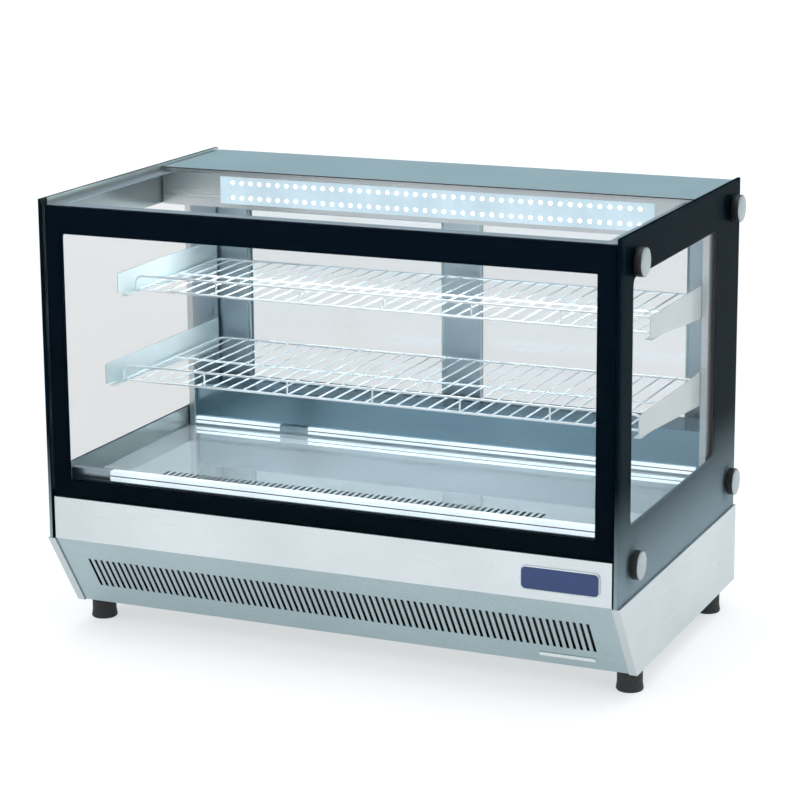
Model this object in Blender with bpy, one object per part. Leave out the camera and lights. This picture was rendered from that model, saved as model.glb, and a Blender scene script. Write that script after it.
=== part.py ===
"""Counter-top heated food display case, front towards -Y, standing on z = 0. Lengths in metres."""

import math

import bmesh
import bpy
from mathutils import Matrix, Vector

# Overall
WIDTH = 0.900  # outer faces of the side glazing
DEPTH = 0.560
HEIGHT = 0.669
FOOT_HEIGHT = 0.035
GAP = 0.0003  # clearance between touching pieces
STEEL = 0.0012  # sheet thickness
FOLDED = 0.0015  # thicker folded sheet of the riser, the header and the track ribs
CUT = 0.010  # how far a cutter runs past the face that it cuts
ROUND_SIDES, SMALL_ROUND_SIDES = 24, 20
SHARP_ANGLE = math.radians(35)  # edges of a turned piece that are sharper than this stay crisp

# Feet
FOOT_INSET_X = 0.0235
FOOT_FRONT_Y, FOOT_REAR_Y = -0.160, 0.215
FOOT_RADIUS, FOOT_LIP_RADIUS = 0.0185, 0.0200
FOOT_LIP_Z, FOOT_NECK_Z = 0.002, 0.012

# Front, base and glazing levels
BEND_Z = 0.1565  # fold between fascia and slanted front
FASCIA_TOP_Z = 0.221
DECK_Z = 0.229
SLANT_SET_BACK = 0.0815
FASCIA_RECESS = 0.0028
FRONT_RETURN = 0.016  # fold under the slanted front
SLANT_END = 0.0016  # slanted front stops short of the side plates' lower edge
SIDE_THICKNESS = 0.012
SIDE_RIM_Y, SIDE_RIM_Z = 0.0035, 0.0026  # rim left round the pocket of a side plate
TOP_RECESS = 0.004
FRONT_GLAZING_DEPTH = 0.014
PANE = 0.004
INNER_PANE = 0.003
TOP_PANE = 0.005
PANE_INSET = 0.0006  # front and top panes behind the front edge of the side glazing
FRONT_PANE_DROP = 0.006  # top of the front glazing below the top glass
TOP_STRIP_WIDTH = 0.020  # grey border under the top glass
TOP_STRIP = 0.002

# Glazing windows, measured from the outer edges
FRONT_BORDER_SIDE = 0.026
FRONT_BORDER_TOP = 0.040
FRONT_BORDER_BOTTOM = 0.027
SIDE_WINDOW_FRONT = 0.055
SIDE_WINDOW_REAR = 0.106
SIDE_WINDOW_TOP = 0.062
SIDE_WINDOW_BOTTOM_Z = 0.259
WINDOW_RADIUS = 0.012
CAP_NUT_RADIUS = 0.0205
CAP_NUT_THICKNESS = 0.012
CAP_NUT_EDGE = 0.0015
NUT_FRONT_Y, NUT_REAR_Y = -0.2205, 0.2380
NUT_BOTTOM_Z, NUT_TOP_Z = 0.2045, 0.629

# Rear structure
HEADER_DEPTH = 0.198
HEADER_BOTTOM_Z = 0.606
HEADER_PAST_RISER = 0.001
UPPER_TRACK_Z = 0.636
SKIRT_BELOW_TRACK = 0.002
RISER_FRONT_Y = 0.160
RISER_BACK_Y = 0.240
RISER_TOP_Z = 0.298
PILASTER_THICKNESS = 0.010
PILASTER_FRONT_Y = 0.152
PILASTER_SLOTS = 10
PILASTER_SLOT_PITCH = 0.026
PILASTER_SLOT_FIRST_Z = 0.320
PILASTER_SLOT_LENGTH = 0.012
PILASTER_SLOT_Y = (0.2215, 0.2245)
PILASTER_SLOT_DEPTH = 0.003
TRACK_BACK_Y = 0.2782  # clear of the header's skirt
TRACK_WEB = 0.0025
TRACK_RIB_CATCH = 0.006  # lower ribs reach this far above the doors' lower edge
TRACK_RIB_LAP = 0.010  # upper ribs reach this far below the doors' upper edge
REAR_PANEL_Y = 0.262

# Doors
DOOR_THICKNESS = 0.012
DOOR_STILE = 0.062
DOOR_RAIL = 0.036
DOOR_OVERLAP = 0.072
DOOR_BOTTOM_Z = 0.236
DOOR_TOP_Z = 0.614
DOOR_SIDE_GAP = 0.002
DOOR_PANE = 0.007
PULL_IN_STILE = 0.45  # middle of the finger pull, as a share of the stile from its outer edge
PULL_HALF_WIDTH = 0.010
PULL_DEPTH = 0.005
PULL_Z = (0.395, 0.495)

# Shelves
WIRE = 0.003
RAIL = 0.004
WIRE_PITCH = 0.025
SHELF_HALF_WIDTH = 0.420
SHELF_BACK_Y = 0.228
GUARD_RISE = 0.022
SHELVES = {
    "upper": {"z": 0.493, "front": -0.050, "arm_front": -0.090, "arm_top": 0.5255},
    "lower": {"z": 0.361, "front": -0.095, "arm_front": -0.134, "arm_top": 0.3925},
}
ARM_THICKNESS = 0.002
ARM_FRONT_HEIGHT = 0.031
ARM_BACK_HEIGHT = 0.051
ARM_KNEE_Y = 0.150  # where an arm's lower edge stops sloping
ARM_BACK_GAP = 0.003
LEDGE = 0.010
LEDGE_THICKNESS = 0.0015
LEDGE_SHORT = 0.010  # a ledge stops this far short of its arm's ends
GUARD_STUBS = 7

# Slots
GRILLE_SLOTS = 80
SLOT_PITCH = 0.010
SLOT_WIDTH = 0.0045
GRILLE_FIRST_DOWN = 0.042
GRILLE_LENGTH = 0.062
DECK_SLOTS = 62
DECK_SLOT_LENGTH = 0.026
DECK_ROW_X, DECK_ROW_Y = -0.025, -0.128  # middle of the row
DECK_OUTLETS = 8
DECK_OUTLET_PITCH = 0.070
DECK_OUTLET_HALF = 0.028
DECK_OUTLET_Y = (0.176, 0.220)
RISER_OUTLETS = 16
RISER_OUTLET_PITCH = 0.044
RISER_OUTLET_HALF = 0.015
RISER_OUTLET_Y = (0.206, 0.212)
REAR_VENTS = 20
REAR_VENT_PITCH = 0.020
REAR_VENT_FIRST_X = -0.340
REAR_VENT_HALF = 0.004
REAR_VENT_Z = (0.120, 0.190)

# Plates and light bars
BLANK_X = 0.350
BLANK_DOWN = 0.124  # down the slope from the fold
BLANK_HALF = (0.042, 0.0004, 0.0035)
BADGE_X, BADGE_Z = (0.305, 0.421), (0.1695, 0.2040)
BADGE_RADIUS = 0.008
BADGE_THICKNESS = 0.0022
BOARD_X, BOARD_HALF = 0.020, 0.355  # LED board on the header
BOARD_THICKNESS = 0.0025
BOARD_ABOVE, BOARD_BELOW = 0.007, 0.0095  # board's margins from the header's lower and upper edges
FRONT_BAR_HALF = 0.419
FRONT_BAR_Y, FRONT_BAR_Z = (-0.2565, -0.2440), (0.2440, 0.2630)
FRONT_BAR_FOOT = 0.003  # thickness of the upright under the front bar
REAR_BAR_DEPTH, REAR_BAR_HEIGHT = 0.0065, 0.0140

# Working parts
FAN_RADIUS = 0.040
FAN_Y = 0.010
FAN_Z = 0.173
DUCT_BOTTOM_Z = 0.118
DUCT_HALF_WIDTH = 0.300
DUCT_Y = (-0.165, 0.232)
FAN_TIP_GAP = 0.003
SHROUD_HALF = 0.0015
MOTOR_RADIUS, MOTOR_LENGTH = 0.018, 0.026
SHAFT_RADIUS, SHAFT_LENGTH = 0.0025, 0.004
BRACE_Z, BRACE_HALF_HEIGHT, BRACE_PAST, BRACE_LEG = (0.010, 0.016), 0.003, 0.010, 0.0055
HUB_RADIUS, HUB_HALF, HUB_EDGE = 0.014, 0.008, 0.001
BLADES = 7
BLADE_THICKNESS = 0.0016
BLADE_ROOT = {"radius": 0.011, "half": 0.0052, "pitch": 40}
BLADE_TIP = {"radius": FAN_RADIUS, "half": 0.0115, "pitch": 24}
TUBE_RADIUS, TUBE_BEND, TUBE_REACH = 0.0042, 0.016, 0.230
TUBE_Y, TUBE_FIRST_Z, TUBE_PASSES, TUBE_BEND_STEPS = 0.085, 0.141, 3, 8
CONTROLS_Z = 0.074
KNOB_X, SWITCH_X, GLAND_X = 0.250, 0.335, -0.380
BOX_X, BOX_FRONT_Y, BOX_TOP_Z = (0.200, 0.400), 0.175, 0.112
DRIVER_X, DRIVER_Y, DRIVER_TOP_Z = (-0.400, -0.250), (0.060, 0.105), 0.066
SWITCH_HALF_WIDTH, SWITCH_HALF_HEIGHT = 0.0075, 0.0098
SWITCH_BACK, SWITCH_LOW, SWITCH_HIGH = -0.006, 0.0035, 0.0068
SWITCH_PIVOT = 0.001  # behind the rear panel's face
SWITCH_HOLE_HALF = (0.0085, 0.0125)
# Outlines of the turned controls as (radius, height) from the rear panel
KNOB_PROFILE = ((0, 0), (0.018, 0), (0.018, 0.003), (0.0145, 0.0045), (0.0135, 0.0150), (0, 0.0150))
GLAND_PROFILE = ((0, 0), (0.013, 0), (0.013, 0.006), (0.009, 0.007), (0.008, 0.015), (0, 0.015))

LEFT, RIGHT = -1, 1
HALF = WIDTH / 2
FRONT_Y, BACK_Y = -DEPTH / 2, DEPTH / 2
INSIDE = HALF - SIDE_THICKNESS - GAP  # half width between the side glazings
GLASS_TOP_Z = HEIGHT - TOP_RECESS
HEADER_FRONT_Y = BACK_Y - HEADER_DEPTH


def clear_scene():
    for old in list(bpy.data.objects):
        bpy.data.objects.remove(old, do_unlink=True)


def make_material(name, color, roughness, metallic=0.0, transmission=0.0, emission=0.0):
    made = bpy.data.materials.new(name)
    made.use_nodes = True
    made.diffuse_color = (*color, 1.0)
    shader = made.node_tree.nodes["Principled BSDF"]
    shader.inputs["Base Color"].default_value = (*color, 1.0)
    shader.inputs["Roughness"].default_value = roughness
    shader.inputs["Metallic"].default_value = metallic
    shader.inputs["Transmission Weight"].default_value = transmission
    shader.inputs["Emission Color"].default_value = (*color, 1.0)
    shader.inputs["Emission Strength"].default_value = emission
    return made


def place(name, mesh, kind):
    """Links a mesh under a node's name, with its own material of one of the kinds below."""
    placed = bpy.data.objects.new(name, mesh)
    bpy.context.scene.collection.objects.link(placed)
    mesh.materials.clear()
    mesh.materials.append(make_material(f"{name}_material", **KINDS[kind]))
    return placed


KINDS = {
    "satin_steel": {"color": (0.62, 0.67, 0.69), "roughness": 0.32, "metallic": 1.0},
    "mirror_steel": {"color": (0.80, 0.83, 0.84), "roughness": 0.08, "metallic": 1.0},
    "aluminium": {"color": (0.66, 0.70, 0.72), "roughness": 0.35, "metallic": 1.0},
    "chrome": {"color": (0.80, 0.83, 0.85), "roughness": 0.15, "metallic": 1.0},
    "black_border": {"color": (0.004, 0.006, 0.010), "roughness": 0.12},
    "glass": {"color": (0.90, 0.96, 0.95), "roughness": 0.02, "transmission": 1.0},
    "rubber": {"color": (0.010, 0.010, 0.011), "roughness": 0.7},
    "light": {"color": (0.90, 0.96, 1.0), "roughness": 0.4, "emission": 3.0},
    "plaque": {"color": (0.012, 0.022, 0.12), "roughness": 0.25},
    "white_plate": {"color": (0.75, 0.78, 0.78), "roughness": 0.4},
    "black_plastic": {"color": (0.015, 0.015, 0.017), "roughness": 0.45},
    "painted_motor": {"color": (0.10, 0.11, 0.12), "roughness": 0.5, "metallic": 0.3},
    "red_plastic": {"color": (0.45, 0.02, 0.015), "roughness": 0.35},
}


def box_into(mesh, low, high):
    """Adds one closed box between two corners to a bmesh."""
    made = bmesh.ops.create_cube(mesh, size=1.0)["verts"]
    for vertex in made:
        for axis in range(3):
            middle = (low[axis] + high[axis]) / 2
            vertex.co[axis] = middle + vertex.co[axis] * (high[axis] - low[axis])


def finish_mesh(name, mesh):
    data = bpy.data.meshes.new(name)
    mesh.to_mesh(data)
    mesh.free()
    return data


def block(name, kind, low, high):
    mesh = bmesh.new()
    box_into(mesh, low, high)
    return place(name, finish_mesh(name, mesh), kind)


def profile_along_x(name, kind, points, half_width):
    """A closed outline of (y, z) points, drawn out along X."""
    mesh = bmesh.new()
    start = [mesh.verts.new((-half_width, y, z)) for y, z in points]
    face = mesh.faces.new(start)
    drawn = bmesh.ops.extrude_face_region(mesh, geom=[face])["geom"]
    moved = [part for part in drawn if isinstance(part, bmesh.types.BMVert)]
    bmesh.ops.translate(mesh, verts=moved, vec=(2 * half_width, 0, 0))
    bmesh.ops.recalc_face_normals(mesh, faces=mesh.faces)
    return place(name, finish_mesh(name, mesh), kind)


def keep_hidden(helper):
    """Keeps a boolean's second shape out of renders and the finished part."""
    helper.hide_render = True
    helper.display_type = "WIRE"


def make_helper(name, mesh):
    helper = bpy.data.objects.new(name, finish_mesh(name, mesh))
    bpy.context.scene.collection.objects.link(helper)
    keep_hidden(helper)
    return helper


def make_cutter(name, boxes):
    """One hidden mesh of separate boxes, each given by its two corners."""
    mesh = bmesh.new()
    for low, high in boxes:
        box_into(mesh, low, high)
    return make_helper(name, mesh)


def boolean(target, other, operation="DIFFERENCE"):
    modifier = target.modifiers.new(f"{operation.lower()}_{other.name}", "BOOLEAN")
    modifier.operation = operation
    modifier.solver = "EXACT"
    modifier.object = other


def rounded_rectangle(low, high, radius, steps=5):
    """Corner-rounded outline from the low corner to the high corner, anticlockwise."""
    centres = (
        (high[0] - radius, high[1] - radius),
        (low[0] + radius, high[1] - radius),
        (low[0] + radius, low[1] + radius),
        (high[0] - radius, low[1] + radius),
    )
    points = []
    for quarter, (x, y) in enumerate(centres):
        for step in range(steps + 1):
            angle = math.radians(90 * (quarter + step / steps))
            points.append((x + radius * math.cos(angle), y + radius * math.sin(angle)))
    return points


def rectangle(low, high):
    return [(low[0], low[1]), (high[0], low[1]), (high[0], high[1]), (low[0], high[1])]


def circle(centre, radius, sides):
    turns = [2 * math.pi * step / sides for step in range(sides)]
    return [(centre[0] + radius * math.cos(t), centre[1] + radius * math.sin(t)) for t in turns]


FACINGS = {
    "front": (math.radians(90), 0, 0),  # outline (x, z), thickness along Y
    "side": (math.radians(90), 0, math.radians(90)),  # outline (y, z), thickness along X
    "top": (0, 0, 0),  # outline (x, y), thickness along Z
}


def sheet(name, kind, facing, outlines, start, end):
    """A flat piece with holes: the first outline is its edge, and the rest are its holes."""
    flat = bpy.data.curves.new(name, "CURVE")
    flat.dimensions = "2D"
    flat.fill_mode = "BOTH"
    flat.extrude = (end - start) / 2
    for outline in outlines:
        spline = flat.splines.new("POLY")
        spline.points.add(len(outline) - 1)
        for point, (x, y) in zip(spline.points, outline):
            point.co = (x, y, 0, 1)
        spline.use_cyclic_u = True
    drawn = bpy.data.objects.new(f"{name}_outline", flat)
    mesh = bmesh.new()
    mesh.from_mesh(bpy.data.meshes.new_from_object(drawn))
    bpy.data.objects.remove(drawn)
    bmesh.ops.remove_doubles(mesh, verts=mesh.verts, dist=1e-6)
    bmesh.ops.recalc_face_normals(mesh, faces=mesh.faces)
    placed = place(name, finish_mesh(name, mesh), kind)
    placed.rotation_euler = FACINGS[facing]
    middle = (start + end) / 2
    placed.location = {"front": (0, middle, 0), "side": (middle, 0, 0), "top": (0, 0, middle)}[facing]
    return placed


def row_of(count, pitch, middle=0.0):
    """The x positions of a row that is centred on middle."""
    return [middle + (index - (count - 1) / 2) * pitch for index in range(count)]


def turned(name, kind, profile, segments, location, rotation=(0, 0, 0)):
    """A solid of revolution about local Z from (radius, z) points that start and end on the axis."""
    mesh = bmesh.new()
    vertices = [mesh.verts.new((radius, 0, z)) for radius, z in profile]
    edges = [mesh.edges.new(pair) for pair in zip(vertices, vertices[1:])]
    bmesh.ops.spin(
        mesh,
        geom=vertices + edges,
        cent=(0, 0, 0),
        axis=(0, 0, 1),
        angle=2 * math.pi,
        steps=segments,
        use_merge=True,
    )
    bmesh.ops.remove_doubles(mesh, verts=mesh.verts, dist=1e-6)
    bmesh.ops.recalc_face_normals(mesh, faces=mesh.faces)
    data = finish_mesh(name, mesh)
    data.shade_smooth()
    data.set_sharp_from_angle(angle=SHARP_ANGLE)
    placed = place(name, data, kind)
    placed.location = location
    placed.rotation_euler = rotation
    return placed


def mirrored(side, inner, outer):
    """The x limits, low first, of a piece that runs from inner to outer on one side."""
    return tuple(sorted((side * inner, side * outer)))


SIDES = {"left": LEFT, "right": RIGHT}
SLANT_BOTTOM_Y = FRONT_Y + SLANT_SET_BACK
SLANT_DROP = BEND_Z - FOOT_HEIGHT
SLANT_LENGTH = math.hypot(SLANT_SET_BACK, SLANT_DROP)
SLANT_ANGLE = math.atan2(SLANT_SET_BACK, SLANT_DROP)


def make_feet():
    foot_x = HALF - FOOT_INSET_X
    places = {
        "front_left": (-foot_x, FOOT_FRONT_Y),
        "front_right": (foot_x, FOOT_FRONT_Y),
        "rear_left": (-foot_x, FOOT_REAR_Y),
        "rear_right": (foot_x, FOOT_REAR_Y),
    }
    top = FOOT_HEIGHT - GAP
    profile = [
        (0, 0),
        (FOOT_RADIUS, 0),
        (FOOT_LIP_RADIUS, FOOT_LIP_Z),
        (FOOT_RADIUS, FOOT_NECK_Z),
        (FOOT_RADIUS, top),
        (0, top),
    ]
    for place_name, (x, y) in places.items():
        turned(f"foot_{place_name}", "rubber", profile, SMALL_ROUND_SIDES, (x, y, 0))


def side_plate(name, side):
    """Steel side of the base: a skin with a rim turned in all round."""
    low, high = mirrored(side, HALF - SIDE_THICKNESS, HALF)
    top_z = BEND_Z - GAP
    corners = [
        (FRONT_Y, top_z),
        (SLANT_BOTTOM_Y, FOOT_HEIGHT),
        (BACK_Y, FOOT_HEIGHT),
        (BACK_Y, top_z),
    ]
    plate = sheet(name, "satin_steel", "side", [corners], low, high)
    centre = sum((Vector(corner) for corner in corners), Vector((0, 0))) / len(corners)
    inner = []
    for y, z in corners:
        inward = (centre - Vector((y, z))).normalized()
        inner.append((y + inward.x * SIDE_RIM_Y, z + inward.y * SIDE_RIM_Z))
    pocket = sheet(f"{name}_pocket", "satin_steel", "side", [inner], low - STEEL, high + STEEL)
    pocket.location.x -= side * 2 * STEEL
    keep_hidden(pocket)
    boolean(plate, pocket)


def make_front_panel():
    """Fascia, fold and slanted part as one folded sheet, with a return under its lower edge."""
    sheet_y = FRONT_Y + FASCIA_RECESS
    slope = Vector((math.sin(SLANT_ANGLE), -math.cos(SLANT_ANGLE)))
    inward = Vector((math.cos(SLANT_ANGLE), math.sin(SLANT_ANGLE)))
    bend = Vector((sheet_y, BEND_Z))
    foot = bend + slope * (SLANT_LENGTH - SLANT_END)
    inner_bend = bend + Vector((STEEL, STEEL * math.tan(SLANT_ANGLE / 2)))
    inner_foot = Vector((foot.x + STEEL / math.cos(SLANT_ANGLE), foot.y + STEEL))
    points = [
        (bend.x, FASCIA_TOP_Z - GAP),
        tuple(bend),
        tuple(foot),
        (foot.x + FRONT_RETURN, foot.y),
        (foot.x + FRONT_RETURN, foot.y + STEEL),
        (inner_foot.x - STEEL * math.tan(SLANT_ANGLE), inner_foot.y),
        tuple(inner_bend),
        (bend.x + STEEL, FASCIA_TOP_Z - GAP),
    ]
    panel = profile_along_x("front_panel", "satin_steel", points, INSIDE)
    boxes = []
    for x in row_of(GRILLE_SLOTS, SLOT_PITCH):
        low = (x - SLOT_WIDTH / 2, -CUT, -GRILLE_FIRST_DOWN - GRILLE_LENGTH)
        boxes.append((low, (x + SLOT_WIDTH / 2, CUT, -GRILLE_FIRST_DOWN)))
    cutter = make_cutter("grille_cutter", boxes)
    cutter.location = (0, bend.x, bend.y)
    cutter.rotation_euler = (SLANT_ANGLE, 0, 0)
    boolean(panel, cutter)
    middle = bend + slope * BLANK_DOWN - inward * (GAP + BLANK_HALF[1])
    plate = block("blank_plate", "white_plate", tuple(-half for half in BLANK_HALF), BLANK_HALF)
    plate.location = (BLANK_X, middle.x, middle.y)
    plate.rotation_euler = (SLANT_ANGLE, 0, 0)


def make_base():
    for side_name, side in SIDES.items():
        side_plate(f"base_side_{side_name}", side)
    block(
        "base_pan",
        "satin_steel",
        (-INSIDE, SLANT_BOTTOM_Y + FRONT_RETURN, FOOT_HEIGHT),
        (INSIDE, REAR_PANEL_Y - STEEL - GAP, FOOT_HEIGHT + STEEL),
    )
    make_front_panel()
    panel = sheet(
        "rear_panel",
        "satin_steel",
        "front",
        [rectangle((-INSIDE, FOOT_HEIGHT), (INSIDE, DECK_Z - STEEL - GAP))],
        REAR_PANEL_Y - STEEL,
        REAR_PANEL_Y,
    )
    boxes = []
    for index in range(REAR_VENTS):
        x = REAR_VENT_FIRST_X + index * REAR_VENT_PITCH
        low = (x - REAR_VENT_HALF, REAR_PANEL_Y - CUT, REAR_VENT_Z[0])
        boxes.append((low, (x + REAR_VENT_HALF, REAR_PANEL_Y + CUT, REAR_VENT_Z[1])))
    boolean(panel, make_cutter("rear_vent_cutter", boxes))
    hole_x, hole_z = SWITCH_HOLE_HALF
    low = (SWITCH_X - hole_x, REAR_PANEL_Y - CUT, CONTROLS_Z - hole_z)
    high = (SWITCH_X + hole_x, REAR_PANEL_Y + CUT, CONTROLS_Z + hole_z)
    boolean(panel, make_cutter("switch_opening", [(low, high)]))


def make_deck():
    """Deck panel: air slots near the front, and outlets under the riser."""
    deck = block(
        "deck_panel",
        "mirror_steel",
        (-INSIDE, FRONT_Y + FRONT_GLAZING_DEPTH + 2 * GAP, DECK_Z - STEEL),
        (INSIDE, TRACK_BACK_Y, DECK_Z),
    )
    boxes = []
    for x in row_of(DECK_SLOTS, SLOT_PITCH, DECK_ROW_X):
        low = (x - SLOT_WIDTH / 2, DECK_ROW_Y - DECK_SLOT_LENGTH / 2, DECK_Z - CUT)
        boxes.append((low, (x + SLOT_WIDTH / 2, DECK_ROW_Y + DECK_SLOT_LENGTH / 2, DECK_Z + CUT)))
    for x in row_of(DECK_OUTLETS, DECK_OUTLET_PITCH):
        low = (x - DECK_OUTLET_HALF, DECK_OUTLET_Y[0], DECK_Z - CUT)
        boxes.append((low, (x + DECK_OUTLET_HALF, DECK_OUTLET_Y[1], DECK_Z + CUT)))
    boolean(deck, make_cutter("deck_cutter", boxes))


def make_riser():
    """Sheet duct behind the deck, open below, with outlet slots in its top."""
    foot_z = DECK_Z + GAP
    wall = FOLDED
    points = [
        (RISER_FRONT_Y, foot_z),
        (RISER_FRONT_Y + wall, foot_z),
        (RISER_FRONT_Y + wall, RISER_TOP_Z - wall),
        (RISER_BACK_Y - wall, RISER_TOP_Z - wall),
        (RISER_BACK_Y - wall, foot_z),
        (RISER_BACK_Y, foot_z),
        (RISER_BACK_Y, RISER_TOP_Z),
        (RISER_FRONT_Y, RISER_TOP_Z),
    ]
    half_width = INSIDE - PILASTER_THICKNESS - 2 * GAP
    riser = profile_along_x("rear_riser", "satin_steel", points, half_width)
    boxes = []
    for x in row_of(RISER_OUTLETS, RISER_OUTLET_PITCH):
        low = (x - RISER_OUTLET_HALF, RISER_OUTLET_Y[0], RISER_TOP_Z - CUT)
        boxes.append((low, (x + RISER_OUTLET_HALF, RISER_OUTLET_Y[1], RISER_TOP_Z + CUT)))
    boolean(riser, make_cutter("riser_cutter", boxes))


def make_front_glazing():
    bottom, top = FASCIA_TOP_Z + GAP, GLASS_TOP_Z - FRONT_PANE_DROP
    edge = rectangle((-INSIDE, bottom), (INSIDE, top))
    window = rectangle(
        (-INSIDE + FRONT_BORDER_SIDE, bottom + FRONT_BORDER_BOTTOM),
        (INSIDE - FRONT_BORDER_SIDE, top - FRONT_BORDER_TOP),
    )
    outer_y = FRONT_Y + PANE_INSET
    inner_y = FRONT_Y + FRONT_GLAZING_DEPTH
    sheet("front_glass_outer", "glass", "front", [edge], outer_y, outer_y + PANE)
    border_start, border_end = outer_y + PANE + GAP, inner_y - INNER_PANE - GAP
    sheet("front_glass_border", "black_border", "front", [edge, window], border_start, border_end)
    sheet("front_glass_inner", "glass", "front", [edge], inner_y - INNER_PANE, inner_y)


def make_side_glazing(side_name, side):
    edge = rectangle((FRONT_Y, BEND_Z), (BACK_Y, HEIGHT))
    window = rounded_rectangle(
        (FRONT_Y + SIDE_WINDOW_FRONT, SIDE_WINDOW_BOTTOM_Z),
        (BACK_Y - SIDE_WINDOW_REAR, HEIGHT - SIDE_WINDOW_TOP),
        WINDOW_RADIUS,
    )
    inner_face = HALF - SIDE_THICKNESS
    inner_end = inner_face + INNER_PANE
    layers = {
        "outer": ("glass", [edge], HALF - PANE, HALF),
        "border": ("black_border", [edge, window], inner_end + GAP, HALF - PANE - GAP),
        "inner": ("glass", [edge], inner_face, inner_end),
    }
    for layer, (kind, outlines, near, far) in layers.items():
        low, high = mirrored(side, near, far)
        sheet(f"side_glass_{side_name}_{layer}", kind, "side", outlines, low, high)
    nut_places = {
        "top_front": (NUT_FRONT_Y, NUT_TOP_Z),
        "top_rear": (NUT_REAR_Y, NUT_TOP_Z),
        "bottom_front": (NUT_FRONT_Y, NUT_BOTTOM_Z),
        "bottom_rear": (NUT_REAR_Y, NUT_BOTTOM_Z),
    }
    thickness, edge_round = CAP_NUT_THICKNESS, CAP_NUT_EDGE
    profile = [
        (0, 0),
        (CAP_NUT_RADIUS, 0),
        (CAP_NUT_RADIUS, thickness - edge_round),
        (CAP_NUT_RADIUS - edge_round, thickness),
        (0, thickness),
    ]
    for where, (y, z) in nut_places.items():
        spot, outward = (side * (HALF + GAP), y, z), (0, side * math.radians(90), 0)
        name = f"cap_nut_{side_name}_{where}"
        turned(name, "satin_steel", profile, ROUND_SIDES, spot, outward)


def make_top():
    glass_low = GLASS_TOP_Z - TOP_PANE
    front = FRONT_Y + PANE_INSET
    back = HEADER_FRONT_Y - GAP
    pane = rectangle((-INSIDE, front), (INSIDE, back))
    sheet("top_glass", "glass", "top", [pane], glass_low, GLASS_TOP_Z)
    border_top = glass_low - GAP
    start = FRONT_Y + FRONT_GLAZING_DEPTH + GAP
    strip = TOP_STRIP_WIDTH
    outline = [
        (-INSIDE, start),
        (INSIDE, start),
        (INSIDE, back),
        (INSIDE - strip, back),
        (INSIDE - strip, start + strip),
        (-INSIDE + strip, start + strip),
        (-INSIDE + strip, back),
        (-INSIDE, back),
    ]
    sheet("top_border", "aluminium", "top", [outline], border_top - TOP_STRIP, border_top)


def make_header():
    """One folded sheet behind the top glass: a box section, then a cover over the door track."""
    wall = FOLDED
    box_back = RISER_BACK_Y + HEADER_PAST_RISER
    skirt_z = UPPER_TRACK_Z - SKIRT_BELOW_TRACK
    lip_z = GLASS_TOP_Z - 2 * wall
    points = [
        (HEADER_FRONT_Y, HEADER_BOTTOM_Z),
        (box_back, HEADER_BOTTOM_Z),
        (box_back, lip_z),
        (box_back - wall, lip_z),
        (box_back - wall, HEADER_BOTTOM_Z + wall),
        (HEADER_FRONT_Y + wall, HEADER_BOTTOM_Z + wall),
        (HEADER_FRONT_Y + wall, GLASS_TOP_Z - wall),
        (BACK_Y - wall, GLASS_TOP_Z - wall),
        (BACK_Y - wall, skirt_z),
        (BACK_Y, skirt_z),
        (BACK_Y, GLASS_TOP_Z),
        (HEADER_FRONT_Y, GLASS_TOP_Z),
    ]
    profile_along_x("rear_header", "satin_steel", points, INSIDE)
    board_back = HEADER_FRONT_Y - GAP
    board_low = (BOARD_X - BOARD_HALF, board_back - BOARD_THICKNESS, HEADER_BOTTOM_Z + BOARD_ABOVE)
    board_high = (BOARD_X + BOARD_HALF, board_back, GLASS_TOP_Z - BOARD_BELOW)
    block("led_board_top", "light", board_low, board_high)


def make_tracks():
    """Two-channel door tracks; each has three ribs on a flat web."""
    rib = FOLDED
    first = RISER_BACK_Y + HEADER_PAST_RISER + GAP
    channel = (TRACK_BACK_Y - first - 3 * rib) / 2
    ribs = [first + index * (channel + rib) for index in range(3)]
    half_width = INSIDE - GAP
    for name, web_z, rib_end in (
        ("door_track_lower", DECK_Z + GAP, DOOR_BOTTOM_Z + TRACK_RIB_CATCH),
        ("door_track_upper", UPPER_TRACK_Z, DOOR_TOP_Z - TRACK_RIB_LAP),
    ):
        toward = 1 if rib_end > web_z else -1
        web_end = web_z + toward * TRACK_WEB
        points = []
        for y in ribs:
            points += [(y, web_end), (y, rib_end), (y + rib, rib_end), (y + rib, web_end)]
        points[0] = (ribs[0], web_z)
        points[-1] = (ribs[-1] + rib, web_z)
        profile_along_x(name, "aluminium", points, half_width)
    return [ribs[index] + rib + channel / 2 for index in range(2)]


def make_door(side_name, side, middle_y):
    """Aluminium frame with finger pulls in its outer stile, round one sealed glass unit."""
    outer = INSIDE - DOOR_SIDE_GAP
    low, high = sorted((side * outer, -side * DOOR_OVERLAP / 2))
    start, end = middle_y - DOOR_THICKNESS / 2, middle_y + DOOR_THICKNESS / 2
    edge = rectangle((low, DOOR_BOTTOM_Z), (high, DOOR_TOP_Z))
    opening_low = (low + DOOR_STILE, DOOR_BOTTOM_Z + DOOR_RAIL)
    opening_high = (high - DOOR_STILE, DOOR_TOP_Z - DOOR_RAIL)
    frame = sheet(
        f"door_frame_{side_name}",
        "aluminium",
        "front",
        [edge, rectangle(opening_low, opening_high)],
        start,
        end,
    )
    pull_x = side * (outer - DOOR_STILE * PULL_IN_STILE)
    pull_low = (pull_x - PULL_HALF_WIDTH, end - PULL_DEPTH, PULL_Z[0])
    pull_high = (pull_x + PULL_HALF_WIDTH, end + CUT, PULL_Z[1])
    boolean(frame, make_cutter(f"pull_cutter_{side_name}", [(pull_low, pull_high)]))
    pane = rectangle(
        (opening_low[0] + GAP, opening_low[1] + GAP),
        (opening_high[0] - GAP, opening_high[1] - GAP),
    )
    pane_start, pane_end = middle_y - DOOR_PANE / 2, middle_y + DOOR_PANE / 2
    sheet(f"door_glass_{side_name}", "glass", "front", [pane], pane_start, pane_end)


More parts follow.
